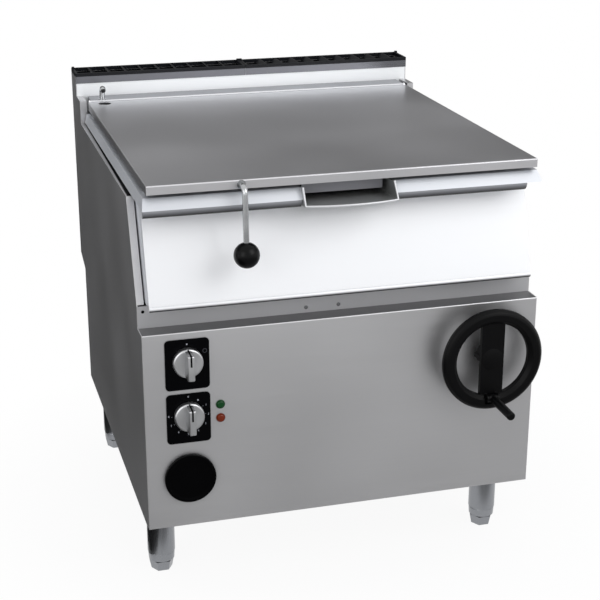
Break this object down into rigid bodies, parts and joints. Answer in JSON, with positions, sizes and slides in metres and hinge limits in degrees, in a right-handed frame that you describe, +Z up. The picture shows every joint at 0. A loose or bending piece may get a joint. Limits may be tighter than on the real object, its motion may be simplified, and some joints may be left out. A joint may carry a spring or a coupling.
{
  "type": "tilting bratt pan",
  "caption": "Floor-standing tilting bratt pan: rectangular tank with a pouring spout and hinged lid, tilted by a handwheel with a folding crank.",
  "frame": {"origin": "on the floor under the middle of the width, midway between the crank handle's end and the back of the flue", "axes": "+X to the right seen from the front, +Y to the back, +Z up"},
  "size_m": [0.85, 1.09, 0.966],
  "materials": {
    "casing_steel": "brushed stainless steel sheet",
    "splash_steel": "bright brushed stainless steel",
    "apron_steel": "bright brushed stainless steel",
    "rim_steel": "brushed stainless steel",
    "lid_steel": "brushed stainless steel, darker in its reflection",
    "tank_steel": "satin stainless steel",
    "frame_steel": "zinc-plated folded steel",
    "leg_steel": "brushed stainless steel tube",
    "shaft_steel": "ground steel",
    "gear_steel": "machined steel",
    "screw_steel": "stainless steel",
    "grille_enamel": "black enamelled cast iron",
    "gearbox_paint": "grey hammered paint",
    "element_sheath": "heat-tinted steel sheath",
    "plate_black": "black dial plate with pale marks",
    "knob_metal": "satin metal-finished knob",
    "wheel_black": "black moulded phenolic",
    "ball_black": "polished black phenolic",
    "tap_black": "black moulded plastic",
    "lamp_green": "green lens",
    "lamp_amber": "amber lens",
    "box_plastic": "pale grey moulded plastic",
    "gland_black": "black nylon",
    "valve_brass": "brass",
    "pipe_copper": "copper tube",
    "wool": "mineral wool slab"
  },
  "bodies": {
    "root": {"base_tray": "frame_steel", "left_side_panel": "casing_steel", "right_side_panel": "casing_steel", "front_panel": "casing_steel", "recess_strip": "casing_steel", "panel_screws": "screw_steel", "rear_panel": "casing_steel", "flue_front": "splash_steel", "flue_trim": "casing_steel", "flue_grille_left": "grille_enamel", "flue_grille_right": "grille_enamel", "leg_tubes": "leg_steel", "cross_beam": "frame_steel", "pivot_brackets": "frame_steel", "pivot_pins": "shaft_steel", "upper_dial_plate": "plate_black", "lower_dial_plate": "plate_black", "selector_switch": "box_plastic", "thermostat": "box_plastic", "green_lamp": "lamp_green", "amber_lamp": "lamp_amber", "water_valve": "valve_brass", "water_pipe": "pipe_copper", "terminal_box": "box_plastic", "cable_gland": "gland_black", "shaft_bearing": "gland_black", "gearbox": "gearbox_paint", "gearbox_stand": "frame_steel", "shaft_support": "frame_steel"},
    "pan": {"tank": "tank_steel", "tank_rim": "rim_steel", "pouring_spout": "rim_steel", "apron": "apron_steel", "pan_side_left": "rim_steel", "pan_side_right": "rim_steel", "pan_rear_cover": "rim_steel", "pan_bearers": "frame_steel", "heating_elements": "element_sheath", "insulation": "wool", "heater_cover": "casing_steel", "quadrant_gear": "gear_steel", "hinge_housing": "rim_steel", "filling_spout": "shaft_steel", "spout_outlet": "gland_black"},
    "lid": {"lid_skin": "lid_steel", "lid_lining": "tank_steel", "lid_handle_rod": "shaft_steel", "lid_handle_ball": "ball_black"},
    "handwheel": {"handwheel": "wheel_black", "drive_shaft": "shaft_steel", "crank_pin": "shaft_steel"},
    "crank_handle": {"crank_handle": "wheel_black"},
    "pinion_shaft": {"pinion_shaft": "gear_steel"},
    "selector_knob": {"selector_knob": "knob_metal"},
    "thermostat_knob": {"thermostat_knob": "knob_metal"},
    "tap_knob": {"tap_knob": "tap_black"},
    "foot_front_left": {"foot_front_left": "leg_steel"},
    "foot_front_right": {"foot_front_right": "leg_steel"},
    "foot_rear_left": {"foot_rear_left": "leg_steel"},
    "foot_rear_right": {"foot_rear_right": "leg_steel"}
  },
  "joints": [
    {"name": "pan_tilt", "type": "hinge", "parent": "root", "child": "pan", "pos_m": [0, -0.361, 0.662], "axis": [1, 0, 0], "range_deg": [0, 80]},
    {"name": "lid_hinge", "type": "hinge", "parent": "pan", "child": "lid", "pos_m": [0, 0.41, 0.902], "axis": [-1, 0, 0], "range_deg": [0, 90]},
    {"name": "handwheel_turn", "type": "hinge", "parent": "root", "child": "handwheel", "pos_m": [0.307, -0.433, 0.487], "axis": [0, 1, 0], "range_deg": [0, 4571.44]},
    {"name": "crank_fold", "type": "hinge", "parent": "handwheel", "child": "crank_handle", "pos_m": [0.307, -0.445, 0.403], "axis": [-1, 0, 0], "range_deg": [0, 90]},
    {"name": "pinion_turn", "type": "hinge", "parent": "root", "child": "pinion_shaft", "pos_m": [0.339, -0.13632, 0.62238], "axis": [1, 0, 0], "range_deg": [-571.44, 0]},
    {"name": "selector_turn", "type": "hinge", "parent": "root", "child": "selector_knob", "pos_m": [-0.3345, -0.395, 0.5345], "axis": [0, 1, 0], "range_deg": [0, 90]},
    {"name": "thermostat_turn", "type": "hinge", "parent": "root", "child": "thermostat_knob", "pos_m": [-0.3345, -0.395, 0.4165], "axis": [0, 1, 0], "range_deg": [0, 300]},
    {"name": "tap_turn", "type": "hinge", "parent": "root", "child": "tap_knob", "pos_m": [-0.3345, -0.39, 0.276], "axis": [0, -1, 0], "range_deg": [0, 90]},
    {"name": "foot_front_left_screw", "type": "slide", "parent": "root", "child": "foot_front_left", "axis": [0, 0, -1], "range_m": [0, 0.05]},
    {"name": "foot_front_right_screw", "type": "slide", "parent": "root", "child": "foot_front_right", "axis": [0, 0, -1], "range_m": [0, 0.05]},
    {"name": "foot_rear_left_screw", "type": "slide", "parent": "root", "child": "foot_rear_left", "axis": [0, 0, -1], "range_m": [0, 0.05]},
    {"name": "foot_rear_right_screw", "type": "slide", "parent": "root", "child": "foot_rear_right", "axis": [0, 0, -1], "range_m": [0, 0.05]}
  ],
  "couplings": [
    {"joint": "pinion_turn", "follows": "pan_tilt", "ratio": -7.1429},
    {"joint": "handwheel_turn", "follows": "pan_tilt", "ratio": 57.143}
  ]
}
